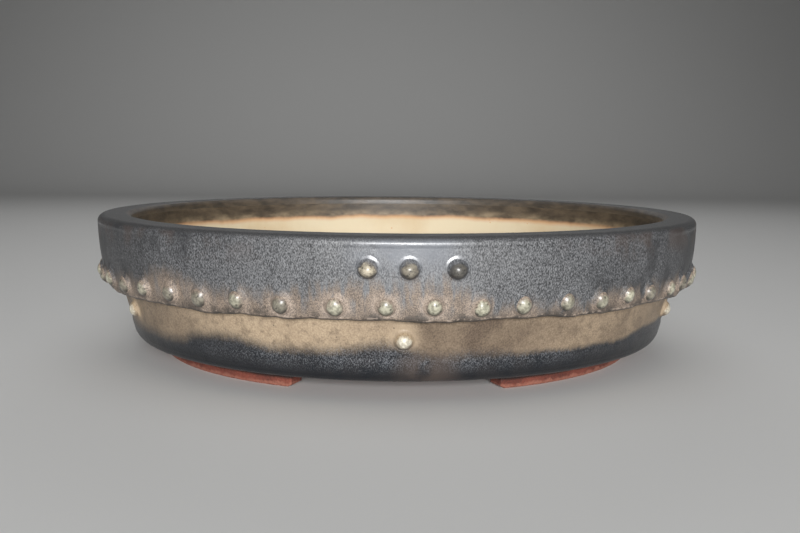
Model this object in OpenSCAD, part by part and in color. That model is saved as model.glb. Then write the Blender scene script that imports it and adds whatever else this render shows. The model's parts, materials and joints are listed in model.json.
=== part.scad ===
// Drum bonsai pot: a thrown bowl wrapped in a studded drum band, standing on three arc feet.
// Millimetres, +Z up. The origin is on the ground under the middle, and the front faces -Y.

/* [Overall] */
// Outside diameter across the lip
rim_d = 280; // [220:1:360]
// Height from the ground to the top of the lip
pot_h = 63; // [58:0.5:90]

/* [Bowl] */
// Thickness of the bowl's wall
wall_t = 8; // [5:0.5:12]
// Thickness of the bowl's floor
floor_t = 8; // [5:0.5:11]
// Lean of the lower wall from upright, in degrees
lower_lean = 15; // [5:0.5:30]
// Rounding of the heel, where the wall turns under
heel_r = 4; // [1:0.5:6]
// Rounding inside, where the floor meets the wall
corner_r = 10; // [4:0.5:13]

/* [Drum band] */
// Thickness of the band
band_t = 6; // [5:0.5:10]
// Height of the band, from its hem to the top of the lip
band_h = 31; // [26:0.5:36]
// Lean of the band from upright, in degrees
band_lean = 7; // [0:0.5:14]
// Thickness of the lip where it covers the bowl's rim
lip_t = 4; // [3:0.5:6]
// Rounding of the lip's outer edge
lip_outer_r = 3; // [1:0.5:4]
// Rounding of the lip's inner edge
lip_inner_r = 2.5; // [0.5:0.25:3]
// Rounding of the hem's outer edge
hem_r = 2; // [0.5:0.5:4]

/* [Feet] */
// Height of the base above the ground
foot_h = 7; // [4:0.5:12]
// Width of a foot, across the ring
foot_w = 10; // [6:0.5:16]
// Arc that one foot covers, in degrees
foot_arc = 76.5; // [30:0.5:110]
// Turn of the ring of feet from its even place, in degrees
feet_turn = -1.5; // [-10:0.1:10]
// Distance from the heel in to a foot's outer face
foot_inset = 12.5; // [6:0.5:24]
// Rounding of a foot's worn edges on the ground
foot_edge_r = 0.75; // [0.5:0.25:2.5]
// Depth of the bed in the base that a foot is luted into
bed_depth = 1; // [0.5:0.25:2]

/* [Drainage] */
// Diameter of the drain hole in the middle of the floor
drain_d = 32; // [15:1:50]
// Diameter of a tie-wire hole
wire_hole_d = 5; // [3:0.5:8]
// Diameter of the circle that the tie-wire holes lie on
wire_circle_d = 120; // [80:1:160]
// Number of tie-wire holes
wire_holes = 4; // [2:1:8]

/* [Rivets] */
// Diameter of a rivet in the row along the hem
row_rivet_d = 6.5; // [4.5:0.25:8]
// Height of a rivet in the row along the hem
row_rivet_h = 3.1; // [1.5:0.1:4]
// Rivets along the hem in each third of the pot
row_rivets_per_third = 17; // [8:1:18]
// Height of the row above the hem
row_rise = 5.5; // [4.5:0.25:8]
// Diameter of a rivet in a trio
trio_rivet_d = 7.8; // [5:0.2:9]
// Height of a rivet in a trio
trio_rivet_h = 3.4; // [1.5:0.1:4.5]
// Distance from rivet to rivet in a trio
trio_step = 15.8; // [11:0.2:24]
// Drop from the top of the lip to a trio
trio_drop = 11.5; // [9:0.5:14]
// Diameter of a single rivet on the lower wall
lower_rivet_d = 7; // [4.5:0.25:8]
// Height of a single rivet on the lower wall
lower_rivet_h = 3.2; // [1.5:0.1:4]
// Drop from the hem to the single rivets
lower_drop = 8; // [5:0.5:11]
// Diameter of the peg under a rivet's head
peg_d = 3; // [2:0.25:4]
// Length of the peg under a rivet's head
peg_l = 3; // [2:0.25:4]
// Share of the hand-set rivets' drift along the wall
hand_drift = 1; // [0:0.1:1.2]
// Largest drift of a hand-set rivet in height
hand_rise = 0.4; // [0:0.1:0.8]

/* [Fit] */
// Layer of slip left round each luted piece
slip_gap = 0.2; // [0.1:0.05:0.4]

/* [Hidden] */
$fn = 96;
// Straight steps in a rounded corner
arc_steps = 8;
// How far a cutting tool stands clear of the face it enters
cut_past = 1;
// Drift of the hand-set rivets along the wall, in turn from the front
row_drifts = [1.1, 1.2, 0, 1.3, 0.8, -1.1, -3.3, -2.6, -4.9, -4, -4.1, -3.6, -4.6, -4, -3.2, 0, 1];
trio_drifts = [2, 0.8, 1.8];
lower_drifts = [-0.6, 11, 2, -3, 1.5, -4];
// Turn in the rise from one hand-set rivet to the next, in degrees
rise_turn = 137.5;
full_turn = 360;
foot_names = ["foot_front_right", "foot_back", "foot_front_left"];
thirds = len(foot_names);
rivets_in_trio = len(trio_drifts);
trio_rivets = rivets_in_trio * thirds;
lower_rivets = 2 * thirds;
// Neighbours in the row that share a node
row_group = 3;
row_rivets = thirds * row_rivets_per_third;
row_nodes = ceil(row_rivets / row_group);

// Levels from the ground up
base_z = foot_h;
floor_z = base_z + floor_t;
hem_z = pot_h - band_h;
rim_z = pot_h - lip_t;
row_z = hem_z + row_rise;
trio_z = pot_h - trio_drop;
lower_z = hem_z - lower_drop;

// Depths from the band's outer face, square to it
bowl_depth = band_t + slip_gap;
inside_depth = bowl_depth + wall_t;

// Middle of the lip's rounded outer edge, and where that edge runs into the band's face
lip_mid = [rim_d / 2 - lip_outer_r, pot_h - lip_outer_r];
face_top = lip_mid + lip_outer_r * [cos(band_lean), -sin(band_lean)];

// Waist of the bowl: the upper wall above it stands behind the band, the lower wall shows
waist = [face_r(hem_z, bowl_depth), hem_z];
heel_corner_r = lower_r(base_z, 0);
mean_lean = (band_lean + lower_lean) / 2;
waist_mitre = wall_t / cos((lower_lean - band_lean) / 2);
inner_waist = waist + waist_mitre * [-cos(mean_lean), sin(mean_lean)];
heel_mid = [lower_r(base_z + heel_r, heel_r), base_z + heel_r];
corner_mid = [lower_r(floor_z + corner_r, wall_t + corner_r), floor_z + corner_r];

hem_mid = [face_r(hem_z + hem_r, hem_r), hem_z + hem_r];
lip_in_r = face_r(rim_z, inside_depth);
lip_in_mid = [lip_in_r + lip_inner_r, pot_h - lip_inner_r];

foot_out_r = heel_corner_r - foot_inset;
foot_in_r = foot_out_r - foot_w;
foot_top = base_z + bed_depth;
bed_arc = foot_arc + 2 * as_arc(slip_gap, foot_in_r);

glaze_grey = [0.42, 0.42, 0.43];
glaze_tan = [0.62, 0.55, 0.46];
glaze_cream = [0.78, 0.74, 0.66];
bare_clay = [0.50, 0.32, 0.27];

function trio_name(i) = str("trio_rivet_", i + 1);
function lower_name(i) = str("lower_rivet_", i + 1);
function row_name(i) = str("row_rivets_", i + 1);

// Radius, at height z, of the face that lies a depth inside the band's outer face
function face_r(z, depth) =
    face_top.x - (face_top.y - z) * tan(band_lean) - depth / cos(band_lean);

// Radius, at height z, of the face that lies a depth inside the bowl's lower wall
function lower_r(z, depth) =
    waist.x - (hem_z - z) * tan(lower_lean) - depth / cos(lower_lean);

// Points of a rounded corner
function arc(mid, r, from, to) =
    [for (i = [0 : arc_steps])
        let (a = from + (to - from) * i / arc_steps)
        mid + r * [cos(a), sin(a)]];

// Arc in degrees that a length takes up on a circle
function as_arc(length, r) = length / r * full_turn / (2 * PI);

// Drift of hand-set rivet i, from the list of its kind
function drift(drifts, i) = hand_drift * drifts[i % len(drifts)];

// Stands its children on a leaning wall, at an angle from the front, facing outwards
module on_wall(angle, r, z, lean) {
    rotate([0, 0, angle])
        translate([0, -r, z])
            rotate([90 + lean, 0, 0])
                children();
}

// Domed rivet head with the peg that goes into the wall
module rivet(d, h) {
    ball_r = (d * d / 4 + h * h) / (2 * h);
    intersection() {
        translate([0, 0, h - ball_r]) sphere(r = ball_r);
        cylinder(r = 2 * ball_r, h = 2 * h);
    }
    translate([0, 0, -peg_l]) cylinder(d = peg_d, h = peg_l + h / 2);
}

// Hole for a rivet's peg, with room for the slip
module peg_hole() {
    depth = peg_l + slip_gap;
    translate([0, 0, -depth]) cylinder(d = peg_d + 2 * slip_gap, h = depth + cut_past);
}

// Places for rivet number i of each kind
module at_row_rivet(i) {
    z = row_z + hand_rise * cos(i * rise_turn);
    r = face_r(z, 0);
    angle = (i + 0.5) * full_turn / row_rivets + as_arc(drift(row_drifts, i), r);
    on_wall(angle, r, z, band_lean) children();
}

module at_trio_rivet(i) {
    place = i % rivets_in_trio - (rivets_in_trio - 1) / 2;
    along = place * trio_step + drift(trio_drifts, i);
    r = face_r(trio_z, 0);
    angle = floor(i / rivets_in_trio) * full_turn / thirds + as_arc(along, r);
    on_wall(angle, r, trio_z, band_lean) children();
}

module at_lower_rivet(i) {
    r = lower_r(lower_z, 0);
    angle = i * full_turn / lower_rivets + as_arc(drift(lower_drifts, i), r);
    on_wall(angle, r, lower_z, lower_lean) children();
}

// Sector under one third of the base, swept by the outline given as a child
module foot_sweep(i, arc) {
    middle = (i + 0.5) * full_turn / thirds - 90 + feet_turn;
    rotate([0, 0, middle - arc / 2])
        rotate_extrude(angle = arc)
            children();
}

module bowl() {
    color(glaze_tan)
        difference() {
            rotate_extrude()
                polygon(concat(
                    [[0, base_z]],
                    arc(heel_mid, heel_r, -90, -lower_lean),
                    [
                        waist,
                        [face_r(rim_z, bowl_depth), rim_z],
                        [lip_in_r, rim_z],
                        inner_waist
                    ],
                    arc(corner_mid, corner_r, -lower_lean, -90),
                    [[0, floor_z]]
                ));
            translate([0, 0, base_z - cut_past])
                cylinder(d = drain_d, h = floor_t + 2 * cut_past);
            for (i = [0 : wire_holes - 1])
                rotate([0, 0, (i + 0.5) * full_turn / wire_holes])
                    translate([wire_circle_d / 2, 0, base_z - cut_past])
                        cylinder(d = wire_hole_d, h = floor_t + 2 * cut_past);
            for (i = [0 : thirds - 1])
                foot_sweep(i, bed_arc)
                    translate([foot_in_r - slip_gap, base_z - cut_past])
                        square([foot_w + 2 * slip_gap, bed_depth + cut_past]);
            for (i = [0 : lower_rivets - 1])
                at_lower_rivet(i) peg_hole();
        }
}

module drum_band() {
    color(glaze_grey)
        difference() {
            rotate_extrude()
                polygon(concat(
                    [[face_r(hem_z, band_t), hem_z]],
                    arc(hem_mid, hem_r, -90, -band_lean),
                    arc(lip_mid, lip_outer_r, -band_lean, 90),
                    arc(lip_in_mid, lip_inner_r, 90, 180),
                    [
                        [lip_in_r, rim_z],
                        [face_r(rim_z, band_t), rim_z]
                    ]
                ));
            for (i = [0 : row_rivets - 1])
                at_row_rivet(i) peg_hole();
            for (i = [0 : trio_rivets - 1])
                at_trio_rivet(i) peg_hole();
        }
}

module foot(i) {
    color(bare_clay)
        foot_sweep(i, foot_arc)
            polygon(concat(
                arc([foot_in_r + foot_edge_r, foot_edge_r], foot_edge_r, 180, 270),
                arc([foot_out_r - foot_edge_r, foot_edge_r], foot_edge_r, 270, 360),
                [[foot_out_r, foot_top], [foot_in_r, foot_top]]
            ));
}

module trio_rivet(i) {
    color(glaze_grey)
        at_trio_rivet(i) rivet(trio_rivet_d, trio_rivet_h);
}

module lower_rivet(i) {
    color(glaze_cream)
        at_lower_rivet(i) rivet(lower_rivet_d, lower_rivet_h);
}

// Neighbouring rivets of the row, as separate solids in one node
module row_rivet_group(i) {
    color(glaze_cream)
        for (k = [i * row_group : min((i + 1) * row_group, row_rivets) - 1])
            at_row_rivet(k) rivet(row_rivet_d, row_rivet_h);
}

bowl();
drum_band();
for (i = [0 : thirds - 1])
    foot(i);
for (i = [0 : trio_rivets - 1])
    trio_rivet(i);
for (i = [0 : lower_rivets - 1])
    lower_rivet(i);
for (i = [0 : row_nodes - 1])
    row_rivet_group(i);
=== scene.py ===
"""Dresses the drum bonsai pot: a glazed band, a thrown bowl, clay rivets and bare arc feet."""
import json
import logging
import math
import random
from dataclasses import dataclass, field
from enum import Enum
from functools import cached_property
from typing import NamedTuple

import bmesh
import bpy
from mathutils import Matrix, Vector, noise


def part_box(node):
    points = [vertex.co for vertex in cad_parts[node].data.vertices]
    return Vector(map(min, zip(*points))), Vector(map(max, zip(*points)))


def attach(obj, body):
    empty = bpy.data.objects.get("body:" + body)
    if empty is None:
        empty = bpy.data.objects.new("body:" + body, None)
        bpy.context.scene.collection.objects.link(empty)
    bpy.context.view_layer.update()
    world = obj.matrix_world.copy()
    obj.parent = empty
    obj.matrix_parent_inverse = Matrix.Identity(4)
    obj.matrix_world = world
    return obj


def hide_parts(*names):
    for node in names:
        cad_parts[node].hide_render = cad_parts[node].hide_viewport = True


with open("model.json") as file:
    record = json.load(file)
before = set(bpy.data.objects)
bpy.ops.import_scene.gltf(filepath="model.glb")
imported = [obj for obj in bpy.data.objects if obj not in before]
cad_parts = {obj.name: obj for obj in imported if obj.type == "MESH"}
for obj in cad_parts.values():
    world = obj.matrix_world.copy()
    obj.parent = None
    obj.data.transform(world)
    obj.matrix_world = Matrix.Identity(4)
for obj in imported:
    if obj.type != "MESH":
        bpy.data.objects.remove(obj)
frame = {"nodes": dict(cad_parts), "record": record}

LOG = logging.getLogger("drum_pot")
MM = 0.001
WELD = 0.01 * MM
ROOT = "root"
SEED = 7
FEET = ("foot_front_right", "foot_back", "foot_front_left")
LEVEL = (1.0, 1.0, 0.0)
SHARP = math.radians(60)
VECTOR = "FLOAT_VECTOR"
Colour = tuple[float, float, float, float]
Pair = tuple[float, float]
Turns = tuple[Pair, ...]


class Zone(Enum):
    """Faces of a turned piece that take different finishes."""

    OUTSIDE = 0
    INSIDE = 1
    BASE = 2

    def socket(self) -> str:
        """Names the tree's input that takes this zone's finish."""
        return f"{self.name.title()} Finish"


class StudKind(Enum):
    """The three kinds of rivet, by the start of their nodes' names."""

    ROW = "row_rivets_"
    TRIO = "trio_rivet_"
    LOWER = "lower_rivet_"

    def nodes(self) -> tuple[str, ...]:
        """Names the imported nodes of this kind, in order."""
        count = sum(name.startswith(self.value) for name in frame["nodes"])
        return tuple(f"{self.value}{i + 1}" for i in range(count))


class ProfilePoint(NamedTuple):
    """A point of a turned outline: radius, height, share of what is worked by hand, and finish."""

    r: float
    z: float
    share: float = 0.0
    zone: Zone = Zone.OUTSIDE


class Stud(NamedTuple):
    """A rivet as it sits on the wall: foot, outward axis, half width, height and tone."""

    foot: Vector
    out: Vector
    wide: float
    tall: float
    tone: float


class Lamp(NamedTuple):
    """A soft lamp: where it hangs, its face, its watts and the angle that its grid lets through."""

    name: str
    place: tuple[float, float, float]
    size: Pair
    power: float
    spread: float = 180.0


def tint(red: int, green: int, blue: int) -> Colour:
    """Turns a colour as it is seen on a screen into the linear colour a shader takes.

    Args:
        red: Red from 0 to 255.
        green: Green from 0 to 255.
        blue: Blue from 0 to 255.

    Returns:
        The linear colour, opaque.
    """
    def linear(level: int) -> float:
        """Undoes the screen's curve for one channel."""
        share = level / 255
        return share / 12.92 if share <= 0.04045 else ((share + 0.055) / 1.055) ** 2.4

    return linear(red), linear(green), linear(blue), 1.0


def arc(mid: Pair, radius: float, start: float, end: float, steps: int) -> list[Pair]:
    """Lays points along a rounded corner of an outline.

    Args:
        mid: Middle of the arc, as radius and height.
        radius: Radius of the arc.
        start: First angle in degrees, from outwards towards up.
        end: Last angle in degrees.
        steps: Number of straight steps.

    Returns:
        The points, first and last included.
    """
    angles = [math.radians(start + (end - start) * i / steps) for i in range(steps + 1)]
    return [(mid[0] + radius * math.cos(a), mid[1] + radius * math.sin(a)) for a in angles]


def run(start: Pair, end: Pair, spacing: float) -> list[Pair]:
    """Lays even points between two corners of an outline, without the corners themselves.

    Args:
        start: First corner, as radius and height.
        end: Last corner.
        spacing: Widest gap between neighbours.

    Returns:
        The points in between.
    """
    steps = max(1, math.ceil(math.dist(start, end) / spacing))
    return [(start[0] + (end[0] - start[0]) * i / steps, start[1] + (end[1] - start[1]) * i / steps)
            for i in range(1, steps)]


@dataclass(frozen=True)
class Wire:
    """An output of a node, which sums can be written with."""

    graph: "Graph"
    socket: bpy.types.NodeSocket

    def __add__(self, other: "Input") -> "Wire":
        """Adds a number to this one."""
        return self.graph.math("ADD", self, other)

    def __sub__(self, other: "Input") -> "Wire":
        """Takes a number from this one."""
        return self.graph.math("SUBTRACT", self, other)

    def __rsub__(self, other: float) -> "Wire":
        """Takes this number from another."""
        return self.graph.math("SUBTRACT", other, self)

    def __mul__(self, other: "Input") -> "Wire":
        """Multiplies this number by another."""
        return self.graph.math("MULTIPLY", self, other)

    def __truediv__(self, other: "Input") -> "Wire":
        """Divides this number by another."""
        return self.graph.math("DIVIDE", self, other)

    def __rtruediv__(self, other: float) -> "Wire":
        """Divides another number by this one."""
        return self.graph.math("DIVIDE", other, self)


Input = float | int | str | tuple | Wire | bpy.types.NodeSocket | bpy.types.ID
Inputs = dict[str | int, Input]


class Graph:
    """Short way to add and join the nodes of one tree."""

    def __init__(self, tree: bpy.types.NodeTree) -> None:
        """Keeps the tree that the nodes go into."""
        self.tree = tree

    def fill(self, node: bpy.types.Node, inputs: Inputs) -> None:
        """Sets or joins a node's inputs.

        Args:
            node: The node.
            inputs: Values or wires for its inputs, by name or number.
        """
        for key, value in inputs.items():
            source = value.socket if isinstance(value, Wire) else value
            if isinstance(source, bpy.types.NodeSocket):
                self.tree.links.new(source, node.inputs[key])
            else:
                node.inputs[key].default_value = source

    def add(self, kind: str, inputs: Inputs | None = None, **settings: object) -> bpy.types.Node:
        """Adds a node.

        Args:
            kind: Type of the node.
            inputs: Values or wires for its inputs, by name or number.
            settings: The node's own properties.

        Returns:
            The new node.
        """
        node = self.tree.nodes.new(kind)
        for name, setting in settings.items():
            setattr(node, name, setting)
        self.fill(node, inputs or {})
        return node

    def wire(self, kind: str, inputs: Inputs | None = None, output: str | int = 0,
             **settings: object) -> Wire:
        """Adds a node and returns one of its outputs."""
        return Wire(self, self.add(kind, inputs, **settings).outputs[output])

    def take(self, kind: str, **defaults: object) -> None:
        """Gives a group named inputs of one kind.

        Args:
            kind: Kind of the inputs.
            defaults: Their names, with underscores for spaces, and their defaults, if any.
        """
        for name, value in defaults.items():
            socket = self.tree.interface.new_socket(name.replace("_", " "), in_out="INPUT",
                                                    socket_type=f"NodeSocket{kind}")
            if value is not None:
                socket.default_value = value

    def give(self, kind: str, name: str) -> None:
        """Gives a group a named output of one kind."""
        self.tree.interface.new_socket(name, in_out="OUTPUT", socket_type=f"NodeSocket{kind}")

    def given(self) -> dict[str, Wire]:
        """Returns a group's inputs by name."""
        return {socket.name: Wire(self, socket) for socket in self.add("NodeGroupInput").outputs}

    def math(self, operation: str, *values: Input) -> Wire:
        """Adds a sum on numbers and returns its result."""
        return self.wire("ShaderNodeMath", dict(enumerate(values)), operation=operation)

    def vector(self, operation: str, *values: Input) -> Wire:
        """Adds a sum on vectors and returns its result."""
        output = "Value" if operation in ("LENGTH", "DOT_PRODUCT") else "Vector"
        return self.wire("ShaderNodeVectorMath", dict(enumerate(values)), output, operation=operation)

    def scaled(self, value: Input, factor: Input) -> Wire:
        """Scales a vector by a number and returns the result."""
        inputs = {"Vector": value, "Scale": factor}
        return self.wire("ShaderNodeVectorMath", inputs, "Vector", operation="SCALE")

    def split(self, place: Input) -> tuple[Wire, ...]:
        """Returns the X, Y and Z of a vector."""
        return tuple(Wire(self, axis) for axis in self.add("ShaderNodeSeparateXYZ", {0: place}).outputs)

    def join(self, x: Input = 0.0, y: Input = 0.0, z: Input = 0.0) -> Wire:
        """Returns a vector of three numbers."""
        return self.wire("ShaderNodeCombineXYZ", {0: x, 1: y, 2: z})

    def ease(self, value: Input, low: Input, high: Input) -> Wire:
        """Returns a smooth step from 0 at low to 1 at high."""
        inputs = {"Value": value, "From Min": low, "From Max": high}
        return self.wire("ShaderNodeMapRange", inputs, "Result", interpolation_type="SMOOTHSTEP")

    def spread(self, value: Input, low: Input, high: Input, start: float = 0.0) -> Wire:
        """Returns a share, from the start to 1, as a number from low to high."""
        inputs = {"Value": value, "From Min": start, "To Min": low, "To Max": high}
        return self.wire("ShaderNodeMapRange", inputs, "Result")

    def blend(self, share: Input, first: Input, second: Input) -> Wire:
        """Returns the mix of two colours, all first at 0 and all second at 1."""
        return self.wire("ShaderNodeMix", {0: share, 6: first, 7: second}, 2, data_type="RGBA")

    def noise(self, place: Input, scale: Input, detail: float = 2.0, roughness: float = 0.5) -> Wire:
        """Returns a cloudy pattern from about 0 to 1."""
        inputs = {"Vector": place, "Scale": scale, "Detail": detail, "Roughness": roughness}
        return self.wire("ShaderNodeTexNoise", inputs)


class Effects:
    """Shader groups that several finishes share."""

    def __init__(self) -> None:
        """Builds each group once."""
        self.flecks = self._flecks()
        self.level = self._level()
        self.specks = self._specks()

    @staticmethod
    def _start(name: str, output: str, **defaults: float) -> tuple[Graph, dict[str, Wire], Wire]:
        """Starts a group with float inputs and one output.

        Args:
            name: Name of the group.
            output: Name of its output.
            defaults: Its inputs with their defaults.

        Returns:
            The group's graph, its inputs and the place on the piece.
        """
        graph = Graph(bpy.data.node_groups.new(name, "ShaderNodeTree"))
        graph.take("Float", **defaults)
        graph.give("Float", output)
        return graph, graph.given(), graph.wire("ShaderNodeTexCoord", output="Object")

    def _flecks(self) -> bpy.types.NodeTree:
        """Fine upright flecks where the glaze has broken, denser in drifting clouds.

        Returns:
            The group.
        """
        graph, given, place = self._start("glaze_flecks", "Flecks", Size=1.3 * MM, Stretch=0.5, Cover=0.5,
                                          Softness=0.3, Cloud_Size=30 * MM)
        upright = graph.vector("MULTIPLY", place, graph.join(1.0, 1.0, given["Stretch"]))
        fine = graph.noise(upright, 1.0 / given["Size"], 3.0, 0.62)
        clouds = graph.noise(upright, 1.0 / given["Cloud Size"], 3.0, 0.55)
        middle = (0.5 - given["Cover"] - (clouds - 0.5) * 0.5) * 0.4 + 0.5
        half = given["Softness"] * 0.5
        graph.add("NodeGroupOutput", {"Flecks": graph.ease(fine, middle - half, middle + half)})
        return graph.tree

    def _level(self) -> bpy.types.NodeTree:
        """A glaze edge at a height, wandering and frayed: 0 below it and 1 above.

        Returns:
            The group.
        """
        graph, given, place = self._start("ragged_level", "Above", Level=0.0, Blur=1 * MM, Wander=2 * MM,
                                          Wander_Size=25 * MM, Fray=1 * MM, Fray_Size=3 * MM)
        height = graph.split(place)[2]
        runs = graph.vector("MULTIPLY", place, (1.0, 1.0, 0.35))
        for swing in ("Wander", "Fray"):
            cloud = graph.noise(runs, 1.0 / given[f"{swing} Size"])
            height = height + (cloud - 0.5) * given[swing] * 2.0
        low, high = given["Level"] - given["Blur"], given["Level"] + given["Blur"]
        graph.add("NodeGroupOutput", {"Above": graph.ease(height, low, high)})
        return graph.tree

    def _specks(self) -> bpy.types.NodeTree:
        """Scattered round specks or pinholes.

        Returns:
            The group.
        """
        graph, given, place = self._start("specks", "Specks", Size=0.6 * MM, Gap=5 * MM)
        cells = graph.add("ShaderNodeTexVoronoi", {"Vector": place, "Scale": 1.0 / given["Gap"]})
        lot = graph.wire("ShaderNodeSeparateColor", {0: cells.outputs["Color"]})
        reach = given["Size"] / given["Gap"] * lot
        specks = graph.ease(cells.outputs["Distance"], reach, reach * 0.4)
        graph.add("NodeGroupOutput", {"Specks": specks})
        return graph.tree


class Surface(Graph):
    """The node tree of one finish, with its shader and its shared effects."""

    def __init__(self, name: str, effects: Effects) -> None:
        """Starts an empty material.

        Args:
            name: Name of the material.
            effects: The shared effects.
        """
        self.material = bpy.data.materials.new(name)
        self.material.use_nodes = True
        super().__init__(self.material.node_tree)
        self.tree.nodes.clear()
        self.effects = effects
        self.shader = self.add("ShaderNodeBsdfPrincipled")
        self.add("ShaderNodeOutputMaterial", {"Surface": self.shader.outputs[0]})
        self.place = self.wire("ShaderNodeTexCoord", output="Object")
        self.x, self.y, self.height = self.split(self.place)

    def effect(self, tree: bpy.types.NodeTree, values: dict[str, Input]) -> Wire:
        """Places a shared effect with its own values, named with underscores for spaces."""
        inputs = {name.replace("_", " "): value for name, value in values.items()}
        return self.wire("ShaderNodeGroup", inputs, node_tree=tree)

    def flecks(self, **values: Input) -> Wire:
        """Returns the mask of the shared flecks."""
        return self.effect(self.effects.flecks, values)

    def above(self, **values: Input) -> Wire:
        """Returns the mask above a ragged glaze edge."""
        return self.effect(self.effects.level, values)

    def specks(self, **values: Input) -> Wire:
        """Returns the mask of the shared specks."""
        return self.effect(self.effects.specks, values)

    def cloud(self, size: float, detail: float = 2.0, upright: float = 1.0) -> Wire:
        """Returns a soft pattern of patches of a size, drawn out upwards where upright is below 1."""
        place = self.place if upright == 1.0 else self.vector("MULTIPLY", self.place, (1.0, 1.0, upright))
        return self.noise(place, 1.0 / size, detail)

    def patches(self, size: float, low: float, high: float, detail: float = 3.0) -> Wire:
        """Returns a mask of patches of a size, from 0 where their pattern is low to 1 where it is high."""
        return self.ease(self.cloud(size, detail), low, high)

    def stored(self, name: str) -> Wire:
        """Returns a number that the piece's mesh carries."""
        return self.wire("ShaderNodeAttribute", output="Fac", attribute_name=name)

    @cached_property
    def radius(self) -> Wire:
        """Returns the distance from the pot's axis."""
        return self.vector("LENGTH", self.vector("MULTIPLY", self.place, LEVEL))

    @cached_property
    def turn(self) -> Wire:
        """Returns the angle from the front, towards the right."""
        return self.math("ARCTAN2", self.x, self.y * -1.0)

    def by_turn(self, points: Turns, low: float = 0.0, high: float = 1.0) -> Wire:
        """Follows listed points round the pot.

        Args:
            points: Angles from the front in degrees, each with a value.
            low: Value that counts as 0.
            high: Value that counts as 1.

        Returns:
            A smooth curve through the points, from 0 to 1.
        """
        node = self.add("ShaderNodeFloatCurve", {"Value": self.turn / math.tau + 0.5})
        spots = [(turn / 360 + 0.5, (value - low) / (high - low)) for turn, value in points]
        line = node.mapping.curves[0].points
        line[0].location, line[1].location = spots[0], spots[-1]
        for spot in spots[1:-1]:
            line.new(*spot)
        node.mapping.update()
        return Wire(self, node.outputs["Value"])

    def finish(self, colour: Input, roughness: Input, relief: Input, depth: float,
               **others: Input) -> bpy.types.Material:
        """Joins the patterns to the shader.

        Args:
            colour: Base colour.
            roughness: Roughness.
            relief: Relief from 0 to 1.
            depth: Height in metres that a relief of 1 stands for.
            others: The shader's other inputs, with underscores for spaces.

        Returns:
            The finished material.
        """
        bump = self.wire("ShaderNodeBump", {"Height": relief, "Strength": 1.0, "Distance": depth}, "Normal")
        self.fill(self.shader, {"Base Color": colour, "Roughness": roughness, "Normal": bump})
        self.fill(self.shader, {name.replace("_", " "): value for name, value in others.items()})
        return self.material


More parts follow.
